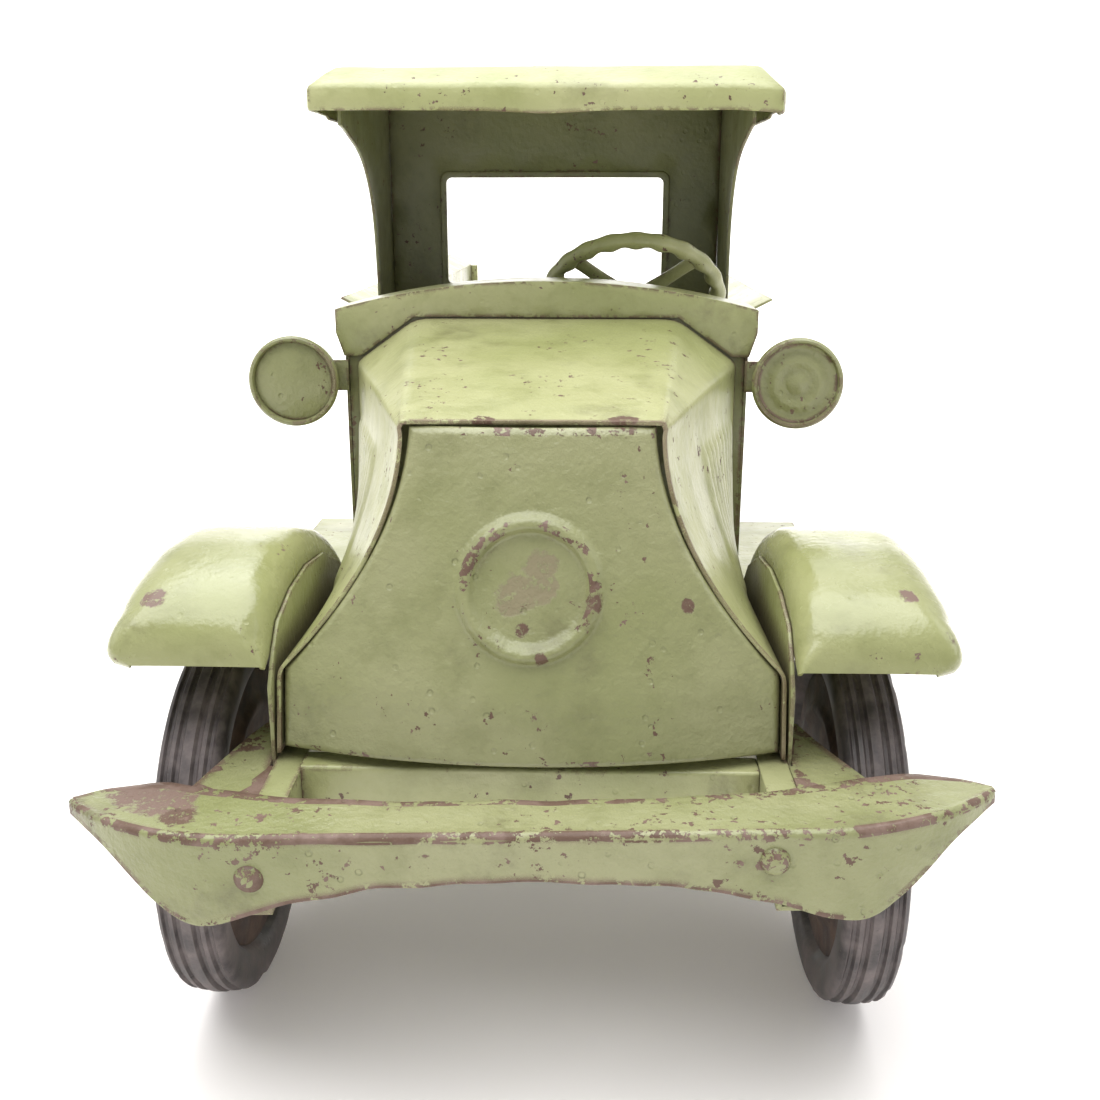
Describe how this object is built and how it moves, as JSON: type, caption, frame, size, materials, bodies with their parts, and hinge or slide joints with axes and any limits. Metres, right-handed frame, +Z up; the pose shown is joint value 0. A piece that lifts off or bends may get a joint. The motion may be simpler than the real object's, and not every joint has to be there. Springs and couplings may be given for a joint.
{
  "type": "toy truck",
  "caption": "Aged green pressed-steel toy truck with a bow-tie bumper, snub hood, open C-cab, steering wheel, flared express bed, drop tailgate and rubber-tyred disc wheels.",
  "frame": {"origin": "bottom centre of the whole truck's box, on the surface the wheels stand on", "axes": "+Z up, the truck faces -Y, +X is the truck's left side, where the steering wheel is"},
  "size_m": [0.208, 0.6628, 0.2495],
  "materials": {
    "green_enamel": "aged gloss enamel, chipped and rusty at the edges",
    "bumper_enamel": "pitted aged enamel, worn to brown primer along the edge",
    "lamp_enamel": "aged satin enamel over pitted steel",
    "bed_enamel": "aged gloss enamel, scratched",
    "frame_enamel": "aged satin enamel, dirty",
    "wheel_discs": "rusty matte",
    "bare_steel": "dull oxidised",
    "tyre_rubber": "dusty, cracked"
  },
  "bodies": {
    "chassis": {"axle_hangers": "frame_enamel", "axle_retainers": "bare_steel", "bed_floor": "bed_enamel", "bed_front": "bed_enamel", "bed_posts": "bed_enamel", "bed_side_left": "bed_enamel", "bed_side_right": "bed_enamel", "bed_sills": "bed_enamel", "bumper": "bumper_enamel", "bumper_bolts": "bumper_enamel", "cab_back": "green_enamel", "cab_floor": "green_enamel", "cab_roof": "green_enamel", "cab_side_left": "green_enamel", "cab_side_right": "green_enamel", "column_bush": "bare_steel", "cowl": "green_enamel", "fender_left": "green_enamel", "fender_right": "green_enamel", "fender_skirt_left": "green_enamel", "fender_skirt_right": "green_enamel", "firewall": "green_enamel", "frame_crossmembers": "frame_enamel", "frame_rail_left": "frame_enamel", "frame_rail_right": "frame_enamel", "front_apron": "frame_enamel", "front_axle": "bare_steel", "headlight_bracket_left": "lamp_enamel", "headlight_bracket_right": "lamp_enamel", "headlight_lens_left": "lamp_enamel", "headlight_lens_right": "lamp_enamel", "headlight_shell_left": "lamp_enamel", "headlight_shell_right": "lamp_enamel", "hood_front": "green_enamel", "hood_shell": "green_enamel", "horn_left": "bumper_enamel", "horn_right": "bumper_enamel", "rear_axle": "bare_steel", "running_board_left": "green_enamel", "running_board_right": "green_enamel", "running_board_straps": "frame_enamel", "seat": "green_enamel", "tailgate_hinge": "bed_enamel", "tailgate_pin": "bare_steel"},
    "wheel_front_left": {"disc_inner_front_left": "wheel_discs", "disc_outer_front_left": "wheel_discs", "tyre_front_left": "tyre_rubber"},
    "wheel_front_right": {"disc_inner_front_right": "wheel_discs", "disc_outer_front_right": "wheel_discs", "tyre_front_right": "tyre_rubber"},
    "wheel_rear_left": {"disc_inner_rear_left": "wheel_discs", "disc_outer_rear_left": "wheel_discs", "tyre_rear_left": "tyre_rubber"},
    "wheel_rear_right": {"disc_inner_rear_right": "wheel_discs", "disc_outer_rear_right": "wheel_discs", "tyre_rear_right": "tyre_rubber"},
    "steering": {"steering_cap": "green_enamel", "steering_column": "bare_steel", "steering_wheel": "green_enamel"},
    "tailgate": {"tailgate": "bed_enamel"}
  },
  "joints": [
    {"name": "wheel_front_left_spin", "type": "hinge", "parent": "chassis", "child": "wheel_front_left", "pos_m": [0.08265, -0.254, 0.05], "axis": [1, 0, 0], "continuous": true},
    {"name": "wheel_front_right_spin", "type": "hinge", "parent": "chassis", "child": "wheel_front_right", "pos_m": [-0.08265, -0.254, 0.05], "axis": [1, 0, 0], "continuous": true},
    {"name": "wheel_rear_left_spin", "type": "hinge", "parent": "chassis", "child": "wheel_rear_left", "pos_m": [0.08265, 0.185, 0.05], "axis": [1, 0, 0], "continuous": true},
    {"name": "wheel_rear_right_spin", "type": "hinge", "parent": "chassis", "child": "wheel_rear_right", "pos_m": [-0.08265, 0.185, 0.05], "axis": [1, 0, 0], "continuous": true},
    {"name": "steering_wheel_turn", "type": "hinge", "parent": "chassis", "child": "steering", "pos_m": [0.028, -0.137, 0.178], "axis": [0, 0.7071, 0.7071], "continuous": true},
    {"name": "tailgate_hinge", "type": "hinge", "parent": "chassis", "child": "tailgate", "pos_m": [0, 0.3289, 0.111], "axis": [-1, 0, 0], "range_deg": [0, 90]}
  ]
}
